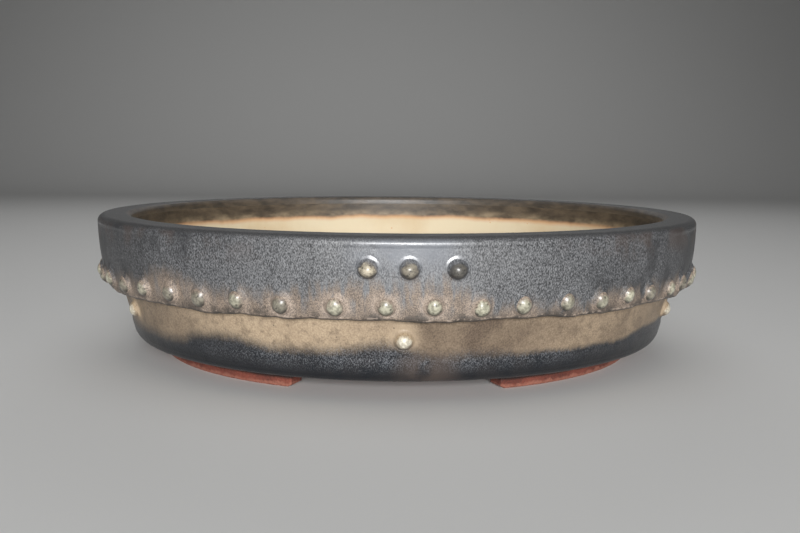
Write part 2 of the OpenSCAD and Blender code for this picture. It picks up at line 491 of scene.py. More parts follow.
@dataclass(frozen=True)
class BandGlaze:
    """Gunmetal glaze, broken into pale flecks, that turns bronze along the rivet row."""

    dark: Colour = tint(34, 35, 38)
    pale: Colour = tint(128, 129, 131)
    bronze: Colour = tint(74, 64, 56)
    bronze_pale: Colour = tint(152, 135, 119)
    halo: Colour = tint(202, 184, 168)
    silver_sheen: Colour = tint(100, 104, 111)
    umber: Colour = tint(76, 62, 55)
    # Dark lip colours: glaze, with painted shade on the lip's upward face
    lip: Colour = tint(22, 23, 25)
    lip_pale: Colour = tint(66, 66, 67)
    inner: Colour = tint(50, 45, 39)
    inner_pale: Colour = tint(92, 80, 66)
    # Toasted brown of the hem, also used for the painted shadow along its lower edge and for pinholes
    hem: Colour = tint(40, 35, 31)
    veil: Colour = tint(62, 67, 73)
    veil_pale: Colour = tint(126, 131, 136)
    runs: float = 5.0 * MM
    lowest: float = -3.0
    highest: float = 12.0
    edge: Turns = (
        (-180.0, 3.0), (-120.0, 6.0), (-90.0, 2.0), (-50.0, 2.0), (-41.0, 8.0), (-35.0, 3.0), (-24.0, 4.0),
        (-15.0, 6.0), (-7.0, 8.5), (4.0, 9.5), (9.0, 5.0), (16.0, 0.0), (24.0, -0.5), (32.0, 1.0),
        (42.0, 2.0), (70.0, 1.0), (120.0, 6.0), (180.0, 3.0))
    haloed: Turns = (
        (-180.0, 0.2), (-60.0, 0.25), (-45.0, 0.5), (-30.0, 0.35), (-18.0, 0.9), (3.0, 1.0), (12.0, 0.5),
        (22.0, 0.15), (180.0, 0.2))
    # Fleck cover round the pot, least at the sides seen from the front: glaze variation and, in part, painted
    # shade
    broken: Turns = (
        (-180.0, 0.42), (-100.0, 0.3), (-65.0, 0.28), (-40.0, 0.37), (-20.0, 0.46), (0.0, 0.5), (20.0, 0.47),
        (40.0, 0.38), (65.0, 0.28), (100.0, 0.3), (180.0, 0.42))

    def material(self, effects: Effects, row_z: float, top_z: float, lip_r: float) -> bpy.types.Material:
        """Builds the finish.

        Args:
            effects: The shared effects.
            row_z: Height of the rivet row.
            top_z: Height of the lip.
            lip_r: Radius of the lip's inner edge.

        Returns:
            The material.
        """
        s = Surface("band_glaze", effects)
        near, hem, height = s.stored("stud_near"), s.stored("hem"), s.height
        cover, haloed = s.by_turn(self.broken), s.by_turn(self.haloed)

        # Flecked gunmetal, with a painted silver sheen high over the trios, cloudy and umber between them
        fleck = s.flecks(Size=0.38 * MM, Stretch=0.5, Cover=cover, Softness=0.3, Cloud_Size=30 * MM)
        grey = s.blend(fleck, self.dark, self.pale)
        # Painted sheen: the band's upper part over each trio turns smooth silver
        over_trio = s.ease(s.math("COSINE", s.turn * 3.0), 0.84, 1.0)
        painted_sheen = over_trio * s.ease(height, top_z - 17 * MM, top_z - 6 * MM)
        grey = s.blend(painted_sheen * s.spread(s.patches(9 * MM, 0.3, 0.6), 0.35, 0.9), grey, self.silver_sheen)
        # Partly painted shade: towards the sides seen from the front, fewer flecks, dark clouds and umber
        aside = s.ease(cover, 0.5, 0.36)
        murk = s.ease(s.cloud(12 * MM, 3.0, upright=0.6), 0.46, 0.64) * aside
        grey = s.blend(murk * 0.65, grey, self.dark)
        umber = s.patches(15 * MM, 0.46, 0.6) * aside * s.ease(height, top_z - 14 * MM, top_z - 5 * MM)
        grey = s.blend(umber * 0.5, grey, self.umber)

        # Flecked bronze with grey drips, and a pale halo round each rivet of the row: glaze colour with a
        # painted highlight, strongest towards the front
        warm_fleck = s.flecks(Size=0.42 * MM, Stretch=0.8, Cover=0.5, Softness=0.36, Cloud_Size=7 * MM)
        warm = s.blend(warm_fleck, self.bronze, self.bronze_pale)
        hug = near * s.ease(height, row_z + 7 * MM, row_z + 2.5 * MM)
        drip = s.ease(s.cloud(3.6 * MM, 3.0, upright=0.1), 0.5, 0.62)
        veil = drip * s.ease(height, row_z - 5 * MM, row_z + 4 * MM) * haloed * s.spread(hug, 0.85, 0.0)
        warm = s.blend(veil, warm, s.blend(warm_fleck, self.veil, self.veil_pale))
        # Pale halo round the row: glaze colour and, in part, a painted highlight
        halo_highlight = hug * s.spread(s.cloud(3 * MM), 0.2, 1.0) * haloed
        warm = s.blend(halo_highlight * s.spread(warm_fleck, 0.4, 1.1), warm, self.halo)

        # The grey runs down over the bronze in columns
        share = s.by_turn(self.edge, self.lowest, self.highest)
        level = s.spread(share, row_z + self.lowest * MM, row_z + self.highest * MM)
        column = s.ease(s.cloud(5 * MM, upright=0.15), 0.54, 0.68) * self.runs
        cool = s.above(Level=level - column, Blur=4.5 * MM, Wander=5 * MM, Wander_Size=12 * MM,
                       Fray=3 * MM, Fray_Size=2 * MM)
        colour = s.blend(cool, warm, grey)

        # Toasted hem with a painted shadow along its lower edge, dark lip with painted shade on its top,
        # brown streaks behind it, pale crust along the hem's edge, and pinholes
        colour = s.blend(s.ease(hem, 0.2, 0.92) * s.patches(7 * MM, 0.42, 0.62) * 0.75, colour, self.hem)
        # The lip's top is dark glaze, darkened further by painted shade on its upward face
        edge = s.ease(height, top_z - 2 * MM, top_z - 0.4 * MM)
        colour = s.blend(edge, colour, s.blend(fleck, self.lip, self.lip_pale))
        streak = s.flecks(Size=9 * MM, Stretch=2.5, Cover=0.45, Softness=0.5, Cloud_Size=25 * MM)
        behind = s.ease(s.radius, lip_r + 3 * MM, lip_r + 0.5 * MM)
        colour = s.blend(behind, colour, s.blend(streak, self.inner, self.inner_pale))
        crust = s.ease(hem, 0.84, 0.93) * s.patches(1.8 * MM, 0.52, 0.62)
        colour = s.blend(crust * 0.4, colour, self.halo)
        # Painted shadow: a dark line along the hem's lower edge
        colour = s.blend(s.ease(hem, 0.95, 0.998) * 0.85, colour, self.hem)
        colour = s.blend(s.specks(Size=0.45 * MM, Gap=6 * MM) * 0.7, colour, self.hem)

        # Thick and glossy under the lip and round the trios, matt on the lip and round the row
        fillet = near * s.ease(height, row_z + 8 * MM, row_z + 11 * MM)
        rough = s.spread(fleck, 0.48, 0.54) - fillet * 0.12 + edge * 0.36 + (near - fillet) * 0.3
        rounding = s.ease(height, top_z - 4.5 * MM, top_z - 3 * MM) - edge
        rounding = rounding * s.ease(s.radius, lip_r + 6 * MM, lip_r + 9 * MM)
        relief = fleck * 0.12 + s.cloud(6 * MM, 3.0) + s.cloud(1.7 * MM) * 0.3
        relief = relief + s.cloud(3.5 * MM, 3.0) * rounding * 2.0
        coat = rounding * 0.5 + fillet * 0.5 + s.spread(s.cloud(20 * MM), 0.0, 0.08)
        return s.finish(colour, rough, relief, 0.18 * MM, Coat_Weight=coat, Coat_Roughness=0.2,
                        Specular_IOR_Level=1.0)


@dataclass(frozen=True)
class WallGlaze:
    """Tan glaze under the hem that runs into flecked black towards the heel."""

    tan: Colour = tint(155, 136, 113)
    straw: Colour = tint(188, 168, 142)
    brown: Colour = tint(78, 67, 57)
    brown_pale: Colour = tint(112, 97, 83)
    black: Colour = tint(28, 31, 35)
    fleck: Colour = tint(118, 120, 124)
    rust: Colour = tint(88, 77, 70)
    sheen: Colour = (0.4, 0.4, 0.42, 1.0)
    lowest: float = 15.0
    highest: float = 23.0
    edge: Turns = (
        (-180.0, 18.0), (-140.0, 20.5), (-100.0, 17.0), (-52.0, 16.4), (-44.0, 17.2), (-35.0, 21.8),
        (-25.0, 20.3), (-14.0, 19.2), (-4.0, 22.2), (3.0, 18.6), (14.0, 18.0), (26.0, 17.4), (42.0, 17.4),
        (58.0, 20.5), (90.0, 18.5), (130.0, 16.5), (180.0, 18.0))
    shade: Turns = (
        (-180.0, 0.5), (-110.0, 0.35), (-60.0, 0.65), (-42.0, 0.5), (-24.0, 0.05), (-8.0, 0.12), (2.0, 0.85),
        (8.0, 1.0), (16.0, 0.95), (26.0, 0.6), (40.0, 0.45), (60.0, 0.6), (100.0, 0.2), (180.0, 0.5))
    rusted: Turns = (
        (-180.0, 0.3), (-90.0, 0.1), (-20.0, 0.05), (-3.0, 0.1), (4.5, 0.6), (11.0, 0.1), (70.0, 0.1),
        (180.0, 0.3))
    # Pale fleck share round the pot, least at the sides seen from the front: glaze variation and, in part,
    # painted shade
    flecked: Turns = (
        (-180.0, 0.7), (-70.0, 0.4), (-48.0, 0.35), (-28.0, 0.8), (-8.0, 1.0), (22.0, 0.9), (42.0, 0.4),
        (180.0, 0.7))

    def material(self, effects: Effects, heel_z: float) -> bpy.types.Material:
        """Builds the finish.

        Args:
            effects: The shared effects.
            heel_z: Height of the heel's lowest point.

        Returns:
            The material.
        """
        s = Surface("wall_glaze", effects)

        # Grained tan, smoky in patches and paler round the rivets
        grain = s.flecks(Size=0.6 * MM, Stretch=0.85, Cover=0.5, Softness=0.46, Cloud_Size=24 * MM)
        tan = s.blend(grain, self.tan, self.straw)
        smoky = s.blend(grain, self.brown, self.brown_pale)
        shade = s.by_turn(self.shade)
        tan = s.blend(shade * s.spread(s.patches(15 * MM, 0.36, 0.66), 0.75, 1.05), tan, smoky)
        tan = s.blend(s.patches(11 * MM, 0.48, 0.66, 4.0) * s.spread(shade, 0.6, 0.2), tan, smoky)
        tan = s.blend(s.patches(3.2 * MM, 0.48, 0.7) * 0.4, tan, smoky)
        tan = s.blend(s.stored("stud_near") * 0.5, tan, self.straw)

        # Black with pale flecks above the heel, fewer towards the sides seen from the front (glaze, and in
        # part painted shade), and rusty in places
        pale = s.flecks(Size=0.42 * MM, Stretch=0.7, Cover=0.33, Softness=0.32, Cloud_Size=16 * MM)
        pale = pale * s.ease(s.height, heel_z + 2 * MM, heel_z + 9 * MM) * s.by_turn(self.flecked)
        black = s.blend(pale, self.black, self.fleck)
        black = s.blend(s.by_turn(self.rusted) * s.patches(9 * MM, 0.3, 0.6), black, self.rust)

        # The tan runs softly into the black, more sharply towards the right
        share = s.by_turn(self.edge, self.lowest, self.highest)
        level = s.spread(share, self.lowest * MM, self.highest * MM)
        blur = s.spread(s.ease(s.turn, 0.1, 0.5), 3.6 * MM, 1.5 * MM)
        soft = s.above(Level=level, Blur=blur, Wander=1.5 * MM, Wander_Size=14 * MM, Fray=1.1 * MM,
                       Fray_Size=1.2 * MM)
        colour = s.blend(soft, black, tan)
        colour = s.blend(s.specks(Size=0.5 * MM, Gap=4 * MM) * 0.6, colour, self.black)
        relief = grain * 0.2 + s.cloud(5 * MM, 3.0)
        return s.finish(colour, s.spread(soft, 0.34, 0.5), relief, 0.16 * MM, Coat_Weight=0.08,
                        Coat_Roughness=0.2, Specular_Tint=self.sheen)


@dataclass(frozen=True)
class CreamInside:
    """Bare cream clay inside, with a run of brown glaze down from the rim."""

    cream: Colour = tint(214, 200, 171)
    sand: Colour = tint(204, 183, 149)
    flush: Colour = tint(196, 134, 82)
    run: Colour = tint(100, 87, 71)
    run_dark: Colour = tint(54, 47, 39)
    run_pale: Colour = tint(152, 135, 110)
    run_depth: float = 11.5 * MM

    def material(self, effects: Effects, top_z: float) -> bpy.types.Material:
        """Builds the finish.

        Args:
            effects: The shared effects.
            top_z: Height of the lip, which the glaze runs down from.

        Returns:
            The material.
        """
        s = Surface("cream_inside", effects)
        run_z = top_z - self.run_depth
        ragged = {"Wander": 1.6 * MM, "Wander_Size": 22 * MM, "Fray": 0.3 * MM}
        clay = s.blend(s.patches(40 * MM, 0.42, 0.72, 4.0), self.cream, self.sand)
        clay = s.blend(s.specks(Size=0.7 * MM, Gap=5 * MM) * 0.6, clay, self.flush)
        fringe = s.above(Level=run_z - 1.4 * MM, Blur=1.6 * MM, **ragged)
        clay = s.blend(fringe * 0.7, clay, self.flush)
        streak = s.flecks(Size=12 * MM, Stretch=3.0, Cover=0.45, Softness=0.6, Cloud_Size=25 * MM)
        glaze = s.blend(streak, self.run_dark, self.run)
        thin = s.flecks(Size=18 * MM, Stretch=2.0, Cover=0.4, Softness=0.35, Cloud_Size=40 * MM)
        foot = s.ease(s.height, run_z + 5 * MM, run_z + 0.5 * MM)
        glaze = s.blend(thin * foot, glaze, self.run_pale)
        glazed = s.above(Level=run_z, Blur=1.2 * MM, **ragged)
        relief = glazed * 0.5 + s.cloud(3 * MM, 4.0)
        return s.finish(s.blend(glazed, clay, glaze), s.spread(glazed, 0.72, 0.56), relief, 0.25 * MM)


@dataclass(frozen=True)
class BareClay:
    """Unglazed red clay of the feet and the base, worn pale near the ground, with a painted shadow on the
    feet's sides under the base.
    """

    clay: Colour = tint(126, 67, 53)
    dark: Colour = tint(88, 47, 39)
    worn: Colour = tint(154, 101, 84)
    # Colour of the painted shadow on the feet's sides under the base, and, two fields on, its depth
    shadow_tone: Colour = tint(38, 25, 22)
    worn_z: float = 1.6 * MM
    shadow_depth: float = 3.5 * MM

    def material(self, effects: Effects, joint_z: float) -> bpy.types.Material:
        """Builds the finish.

        Args:
            effects: The shared effects.
            joint_z: Height of the base, under which a foot's upright sides take a painted shadow.

        Returns:
            The material.
        """
        s = Surface("bare_clay", effects)
        grain = s.flecks(Size=1.0 * MM, Stretch=1.0, Cover=0.5, Softness=0.25, Cloud_Size=12 * MM)
        colour = s.blend(s.patches(14 * MM, 0.35, 0.6, 4.0), self.dark, self.clay)
        colour = s.blend(grain * 0.45, colour, self.clay)
        worn = s.above(Level=self.worn_z, Blur=0.8 * MM, Wander=1.2 * MM, Wander_Size=6 * MM)
        colour = s.blend(0.75 - worn, colour, self.worn)
        colour = s.blend(s.specks(Size=0.7 * MM, Gap=3.5 * MM) * 0.7, colour, self.dark)
        # Painted shadow: the top of each foot's upright sides, just under the base, is darkened
        facing = s.split(s.wire("ShaderNodeNewGeometry", output="Normal"))[2]
        upright = s.ease(s.math("ABSOLUTE", facing), 0.6, 0.3)
        shaded_top = s.above(Level=joint_z - self.shadow_depth, Blur=0.7 * MM, Wander=0.5 * MM, Wander_Size=12 * MM,
                        Fray=0.2 * MM)
        colour = s.blend(shaded_top * upright, colour, self.shadow_tone)
        return s.finish(colour, s.spread(grain, 0.78, 0.92), grain + s.cloud(2 * MM, 4.0), 0.2 * MM)


@dataclass(frozen=True)
class StudGlaze:
    """Glaze on a rivet: pale on the crown, broken by dark specks, dark on the lower side from pooled glaze
    and painted shade.
    """

    name: str
    crown: Colour
    body: Colour
    body_pale: Colour
    dark: Colour
    deep: Colour
    creep: Colour
    creep_pale: Colour
    smooth: float = 0.34

    def material(self, effects: Effects) -> bpy.types.Material:
        """Builds the finish.

        Args:
            effects: The shared effects.

        Returns:
            The material.
        """
        s = Surface(self.name, effects)
        crown, tone, low = s.stored("crown"), s.stored("tone"), s.stored("low")
        patch = s.cloud(1.9 * MM, 3.0)
        ragged = patch - 0.5
        wear = crown + ragged * 1.5 + low * 0.2
        broken = s.flecks(Size=0.55 * MM, Stretch=0.8, Cover=0.5, Softness=0.4, Cloud_Size=9 * MM)
        body = s.blend(broken, self.body, self.body_pale)
        colour = s.blend(s.ease(wear, 0.3, 0.85), body, self.crown)
        colour = s.blend(tone * 0.85, colour, self.deep)
        colour = s.blend(s.patches(1.1 * MM, 0.56, 0.4, 2.0) * 0.4, colour, self.dark)
        colour = s.blend(s.specks(Size=0.7 * MM, Gap=1.7 * MM) * 0.75, colour, self.dark)
        rim = crown + ragged * 0.5 - s.ease(low, 0.4, -0.8) * 0.25
        creep = s.blend(broken, self.creep, self.creep_pale)
        colour = s.blend(s.ease(rim, 0.6, 0.1) * 0.9, colour, creep)
        # Darker on the head's lower side: pooled glaze, and painted shade
        pooled_and_shaded = s.ease(low, 0.0, 0.65) * s.ease(crown, 1.0, 0.5)
        colour = s.blend(pooled_and_shaded * 0.85, colour, self.dark)
        rough = s.spread(patch, self.smooth - 0.06, self.smooth + 0.1)
        return s.finish(colour, rough, patch, 0.22 * MM, Coat_Weight=0.55,
                        Coat_Roughness=self.smooth - 0.08)


CREAM_STUD = StudGlaze(
    "stud_glaze", crown=tint(188, 185, 163), body=tint(112, 99, 86), body_pale=tint(196, 179, 163),
    dark=tint(44, 39, 34), deep=tint(104, 97, 88), creep=tint(96, 85, 75), creep_pale=tint(178, 160, 144))
BRONZE_STUD = StudGlaze(
    "trio_glaze", crown=tint(190, 180, 159), body=tint(84, 77, 70), body_pale=tint(152, 140, 124),
    dark=tint(32, 31, 31), deep=tint(56, 57, 60), creep=tint(58, 60, 63), creep_pale=tint(138, 140, 144))
PALE_STUD = StudGlaze(
    "pale_stud_glaze", crown=tint(222, 216, 197), body=tint(158, 140, 118), body_pale=tint(206, 190, 165),
    dark=tint(108, 93, 76), deep=tint(170, 158, 136), creep=tint(142, 122, 99),
    creep_pale=tint(184, 163, 133))


class Shaping(Graph):
    """A Geometry Nodes tree under construction."""

    # A rivet's mark ends and starts at these half widths, and height counts by these shares
    MARK_END = 2.1
    MARK_START = 0.9
    ABOVE = 0.7
    BELOW = -1.1

    def __init__(self, name: str, output: str) -> None:
        """Starts an empty tree that puts out one geometry."""
        super().__init__(bpy.data.node_groups.new(name, "GeometryNodeTree"))
        self.give("Geometry", output)

    def here(self) -> Wire:
        """Returns the place of each point."""
        return self.wire("GeometryNodeInputPosition")

    def shape_of(self, thing: Input) -> Wire:
        """Returns the geometry of an object."""
        return self.wire("GeometryNodeObjectInfo", {"Object": thing}, "Geometry")

    def named(self, name: str, kind: str = "FLOAT") -> Wire:
        """Returns an attribute by its name."""
        return self.wire("GeometryNodeInputNamedAttribute", {"Name": name}, "Attribute", data_type=kind)

    def store(self, mesh: Input, name: str, value: Input, kind: str = "FLOAT", domain: str = "POINT") -> Wire:
        """Returns the geometry with an attribute written on it."""
        inputs = {"Geometry": mesh, "Name": name, "Value": value}
        return self.wire("GeometryNodeStoreNamedAttribute", inputs, data_type=kind, domain=domain)

    def moved(self, mesh: Input, **inputs: Input) -> Wire:
        """Returns the geometry with its points moved, to a Position or by an Offset."""
        return self.wire("GeometryNodeSetPosition", {"Geometry": mesh, **inputs})

    def sampled(self, source: Input, value: Input, index: Input, kind: str) -> Wire:
        """Returns a value of another geometry at one of its points."""
        inputs = {"Geometry": source, "Value": value, "Index": index}
        return self.wire("GeometryNodeSampleIndex", inputs, "Value", data_type=kind)

    def realized(self, instances: Input) -> Wire:
        """Returns instances as plain geometry."""
        return self.wire("GeometryNodeRealizeInstances", {0: instances})

    def turned(self, outline: Input, segments: Wire) -> Wire:
        """Turns an outline round the Z axis into a closed mesh.

        Args:
            outline: Points of the outline, in the XZ plane, with their share and zone.
            segments: Number of steps round the axis.

        Returns:
            The mesh, which carries the share on its points and the zone on its faces.
        """
        count = self.wire("GeometryNodeAttributeDomainSize", {0: outline}, "Point Count")
        mesh = self.wire("GeometryNodeMeshGrid", {
            "Size X": 1.0, "Size Y": 1.0, "Vertices X": segments + 1, "Vertices Y": count}, "Mesh")
        x, y, _ = self.split(self.here())
        turn = (x + 0.5) * math.tau
        along = (y + 0.5) * (count - 1)
        point = self.math("ROUND", along)
        zone = self.sampled(outline, self.named("zone", "INT"), self.math("FLOOR", along), "INT")
        mesh = self.store(mesh, "zone", zone, "INT", "FACE")
        mesh = self.store(mesh, "share", self.sampled(outline, self.named("share"), point, "FLOAT"))
        r, _, z = self.split(self.sampled(outline, self.here(), point, VECTOR))
        place = self.join(r * self.math("SINE", turn), r * (self.math("COSINE", turn) * -1.0), z)
        mesh = self.moved(mesh, Position=place)
        return self.wire("GeometryNodeMergeByDistance", {"Geometry": mesh, "Distance": WELD})

    def marked(self, mesh: Input, offset: Input, girth: Input) -> Wire:
        """Writes how near a point is to a rivet, for the finishes.

        Args:
            mesh: The geometry that takes the marks.
            offset: From the rivet to the point.
            girth: Half width of the rivet.

        Returns:
            The geometry.
        """
        x, y, z = self.split(offset)
        tail = self.math("MAXIMUM", z * self.ABOVE, z * self.BELOW)
        gap = self.vector("LENGTH", self.join(x, y, tail))
        return self.store(mesh, "stud_near", self.ease(gap / girth, self.MARK_END, self.MARK_START))

    def painted(self, mesh: Input, finishes: dict[Zone, Input]) -> Wire:
        """Smooths and realizes the geometry, then gives each zone its finish.

        Args:
            mesh: The geometry.
            finishes: The finish of each zone.

        Returns:
            The geometry.
        """
        mesh = self.realized(self.wire("GeometryNodeSetShadeSmooth", {"Geometry": mesh}))
        for zone, finish in finishes.items():
            chosen = self.wire("FunctionNodeCompare", {"A": self.named("zone", "INT"), "B": zone.value},
                               data_type="INT", operation="EQUAL")
            inputs = {"Geometry": mesh, "Selection": chosen, "Material": finish}
            mesh = self.wire("GeometryNodeSetMaterial", inputs)
        return mesh


class TurnedWall(Shaping):
    """Tree that turns an outline round the pot's axis, bores it and works it by hand."""

    SWAY_SCALE = 5.5
    SWAY_DETAIL = 3.0
    SWAY_ROUGHNESS = 0.6
    WOBBLE_SCALE = 22.0
    DRILL_SIDES = 32
    DRILL_LENGTH = 30 * MM

    def __init__(self) -> None:
        """Builds the tree: turn, bore, sway, mark and finish."""
        super().__init__("turned_wall", "Wall")
        self.take("Geometry", Outline=None)
        self.take("Object", Studs=None)
        self.take("Int", Segments=512, Hole_Count=0)
        self.take("Float", Sway=0.0, Wobble=0.0, Hole_Radius=1 * MM, Hole_Circle=50 * MM, Hole_Height=0.0)
        self.take("Material", **{zone.socket(): None for zone in Zone})
        given = self.given()
        mesh = self._bored(self.turned(given["Outline"], given["Segments"]), given)
        mesh = self.store(mesh, "hem", self.named("share"))

        place = self.here()
        bearing = self.vector("NORMALIZE", self.vector("MULTIPLY", place, LEVEL))
        wave = self.noise(bearing, self.SWAY_SCALE, self.SWAY_DETAIL, self.SWAY_ROUGHNESS)
        dip = (wave - 0.5) * given["Sway"] * self.named("share")
        pull = (self.noise(place, self.WOBBLE_SCALE) - 0.5) * given["Wobble"]
        shift = self.vector("ADD", self.join(z=dip * 2.0), self.scaled(bearing, pull * 2.0))
        mesh = self.moved(mesh, Offset=shift)

        studs = self.shape_of(given["Studs"])
        closest = self.wire("GeometryNodeSampleNearest", {"Geometry": studs}, "Index")
        foot = self.sampled(studs, self.here(), closest, VECTOR)
        girth = self.split(self.sampled(studs, self.named("girth", VECTOR), closest, VECTOR))[0]
        mesh = self.marked(mesh, self.vector("SUBTRACT", self.here(), foot), girth)
        finishes = {zone: given[zone.socket()] for zone in Zone}
        self.add("NodeGroupOutput", {"Wall": self.painted(mesh, finishes)})

    def _bored(self, mesh: Wire, given: dict[str, Wire]) -> Wire:
        """Bores a ring of upright holes, where any are wanted.

        Args:
            mesh: The turned wall.
            given: The tree's inputs.

        Returns:
            The wall with its holes.
        """
        count = given["Hole Count"]
        ring = self.wire("GeometryNodeMeshCircle", {"Vertices": count, "Radius": given["Hole Circle"]})
        half_step = math.pi / self.math("MAXIMUM", count, 1)
        ring = self.wire("GeometryNodeTransform", {
            "Geometry": ring, "Translation": self.join(z=given["Hole Height"]),
            "Rotation": self.join(z=half_step)})
        drill = self.wire("GeometryNodeMeshCylinder", {
            "Vertices": self.DRILL_SIDES, "Radius": given["Hole Radius"], "Depth": self.DRILL_LENGTH}, "Mesh")
        drill = self.store(drill, "zone", Zone.INSIDE.value, "INT", "FACE")
        drills = self.wire("GeometryNodeInstanceOnPoints", {"Points": ring, "Instance": drill})
        cut = {"Mesh 1": mesh, "Mesh 2": self.realized(drills)}
        bored = self.wire("GeometryNodeMeshBoolean", cut, "Mesh", operation="DIFFERENCE", solver="EXACT")
        choice = {"Switch": self.math("GREATER_THAN", count, 0), "False": mesh, "True": bored}
        return self.wire("GeometryNodeSwitch", choice, input_type="GEOMETRY")

    def throw(self, name: str, outline: list[ProfilePoint], studs: list[Stud],
              finishes: dict[Zone, bpy.types.Material], **values: object) -> bpy.types.Object:
        """Turns an outline into a piece.

        Args:
            name: Name of the piece.
            outline: Its closed outline.
            studs: The rivets that it carries.
            finishes: The finish of each zone.
            values: The tree's other inputs, with underscores for spaces.

        Returns:
            The piece.
        """
        places = bpy.data.objects.new(name + "_studs", stud_mesh(name + "_studs", studs))
        values |= {zone.socket(): finish for zone, finish in finishes.items()}
        piece = grow(name, outline_mesh(name + "_outline", outline), self.tree, Studs=places, **values)
        bpy.data.objects.remove(places)
        return piece


class StudHeads(Shaping):
    """Tree that turns a pressed head with a flared foot and sets one on each rivet's place."""

    LUMP_SCALE = 260.0
    LUMP_DETAIL = 1.0
    RAY_START = 6 * MM
    RAY_LENGTH = 20 * MM

    def __init__(self) -> None:
        """Builds the tree: head, placing, flaring, seating, marks and finish."""
        super().__init__("stud_heads", "Heads")
        self.take("Geometry", Places=None)
        self.take("Object", Head=None, Wall=None)
        self.take("Int", Segments=32)
        self.take("Float", Flare_Down=1.0, Ramp=1.0, Lump=0.5 * MM)
        self.take("Material", Finish=None, Foot_Finish=None)
        given = self.given()
        head = self.turned(self.shape_of(given["Head"]), given["Segments"])
        head = self.store(head, "crown", self.split(self.here())[2])
        aim = self.wire("FunctionNodeAlignRotationToVector", {"Vector": self.named("out", VECTOR)}, axis="Z")
        heads = self.realized(self.wire("GeometryNodeInstanceOnPoints", {
            "Points": given["Places"], "Instance": head, "Rotation": aim,
            "Scale": self.named("girth", VECTOR)}))
        heads = self._seated(self._flared(heads, given), given["Wall"])
        offset, girth = self._offset(), self._girth()
        low = self.split(offset)[2] * -1.0 / girth
        heads = self.marked(self.store(heads, "low", low), offset, girth)
        finishes = {Zone.OUTSIDE: given["Finish"], Zone.BASE: given["Foot Finish"]}
        self.add("NodeGroupOutput", {"Heads": self.painted(heads, finishes)})

    def _offset(self) -> Wire:
        """Returns the way from a rivet's foot to a point of its head."""
        return self.vector("SUBTRACT", self.here(), self.named("foot", VECTOR))

    def _girth(self) -> Wire:
        """Returns a rivet's half width."""
        return self.split(self.named("girth", VECTOR))[0]

    def _flared(self, heads: Wire, given: dict[str, Wire]) -> Wire:
        """Draws the foot out and the upper side up, and presses lumps into the head.

        Args:
            heads: The heads in their places.
            given: The tree's inputs.

        Returns:
            The heads.
        """
        out, offset = self.named("out", VECTOR), self._offset()
        aside = self.vector("SUBTRACT", offset, self.scaled(out, self.vector("DOT_PRODUCT", offset, out)))
        length = self.math("MAXIMUM", self.vector("LENGTH", aside), WELD)
        rise = self.split(aside)[2]
        gain = self.spread(rise / length, given["Flare Down"], 1.0, start=-1.0)
        past = self.math("MAXIMUM", length - self._girth(), 0.0)
        wider = past / length * (gain - 1.0)
        upward = self.vector("SUBTRACT", (0.0, 0.0, 1.0), self.scaled(out, self.split(out)[2]))
        higher = self.math("MAXIMUM", rise, 0.0) * (given["Ramp"] - 1.0)
        cloud = self.wire("ShaderNodeTexNoise", {
            "Vector": self.here(), "Scale": self.LUMP_SCALE, "Detail": self.LUMP_DETAIL}, "Color")
        lump = self.scaled(self.vector("SUBTRACT", cloud, (0.5, 0.5, 0.5)),
                           given["Lump"] * self.named("share"))
        shift = self.vector("ADD", self.scaled(aside, wider), self.scaled(upward, higher))
        return self.moved(heads, Offset=self.vector("ADD", shift, lump))

    def _seated(self, heads: Wire, wall: Wire) -> Wire:
        """Moves each point in or out by as much as the wall under it lies off the rivet's own plane.

        Args:
            heads: The heads in their places.
            wall: The object that carries them.

        Returns:
            The heads.
        """
        out = self.named("out", VECTOR)
        start = self.vector("ADD", self.here(), self.scaled(out, self.RAY_START))
        ray = self.add("GeometryNodeRaycast", {
            "Target Geometry": self.shape_of(wall), "Source Position": start,
            "Ray Direction": self.scaled(out, -1.0), "Ray Length": self.RAY_LENGTH})
        off = self.vector("SUBTRACT", ray.outputs["Hit Position"], self.named("foot", VECTOR))
        lift = self.vector("DOT_PRODUCT", off, out) * ray.outputs["Is Hit"]
        return self.moved(heads, Offset=self.scaled(out, lift))


def grow(name: str, mesh: bpy.types.Mesh, tree: bpy.types.NodeTree, **values: object) -> bpy.types.Object:
    """Runs a Geometry Nodes tree on a mesh and keeps the result as a plain mesh.

    Args:
        name: Name of the piece.
        mesh: What the tree starts from.
        tree: The tree.
        values: The tree's inputs, with underscores for spaces.

    Returns:
        The piece, with no modifier left on it.
    """
    piece = bpy.data.objects.new(name, mesh)
    bpy.context.scene.collection.objects.link(piece)
    modifier = piece.modifiers.new(tree.name, "NODES")
    modifier.node_group = tree
    sockets = {item.name: item.identifier for item in tree.interface.items_tree
               if item.item_type == "SOCKET" and item.in_out == "INPUT"}
    for label, value in values.items():
        modifier[sockets[label.replace("_", " ")]] = value
    graph = bpy.context.evaluated_depsgraph_get()
    plain = bpy.data.meshes.new_from_object(piece.evaluated_get(graph), preserve_all_data_layers=True,
                                            depsgraph=graph)
    plain.name = name
    plain.set_sharp_from_angle(angle=SHARP)
    piece.modifiers.clear()
    piece.data = plain
    return piece


def outline_mesh(name: str, points: list[ProfilePoint]) -> bpy.types.Mesh:
    """Makes the mesh that carries an outline to a tree.

    Args:
        name: Name of the mesh.
        points: The outline, from end to end.

    Returns:
        The mesh.
    """
    mesh = bpy.data.meshes.new(name)
    mesh.from_pydata([(p.r, 0.0, p.z) for p in points], [(i, i + 1) for i in range(len(points) - 1)], [])
    mesh.attributes.new("share", "FLOAT", "POINT").data.foreach_set("value", [p.share for p in points])
    mesh.attributes.new("zone", "INT", "POINT").data.foreach_set("value", [p.zone.value for p in points])
    return mesh


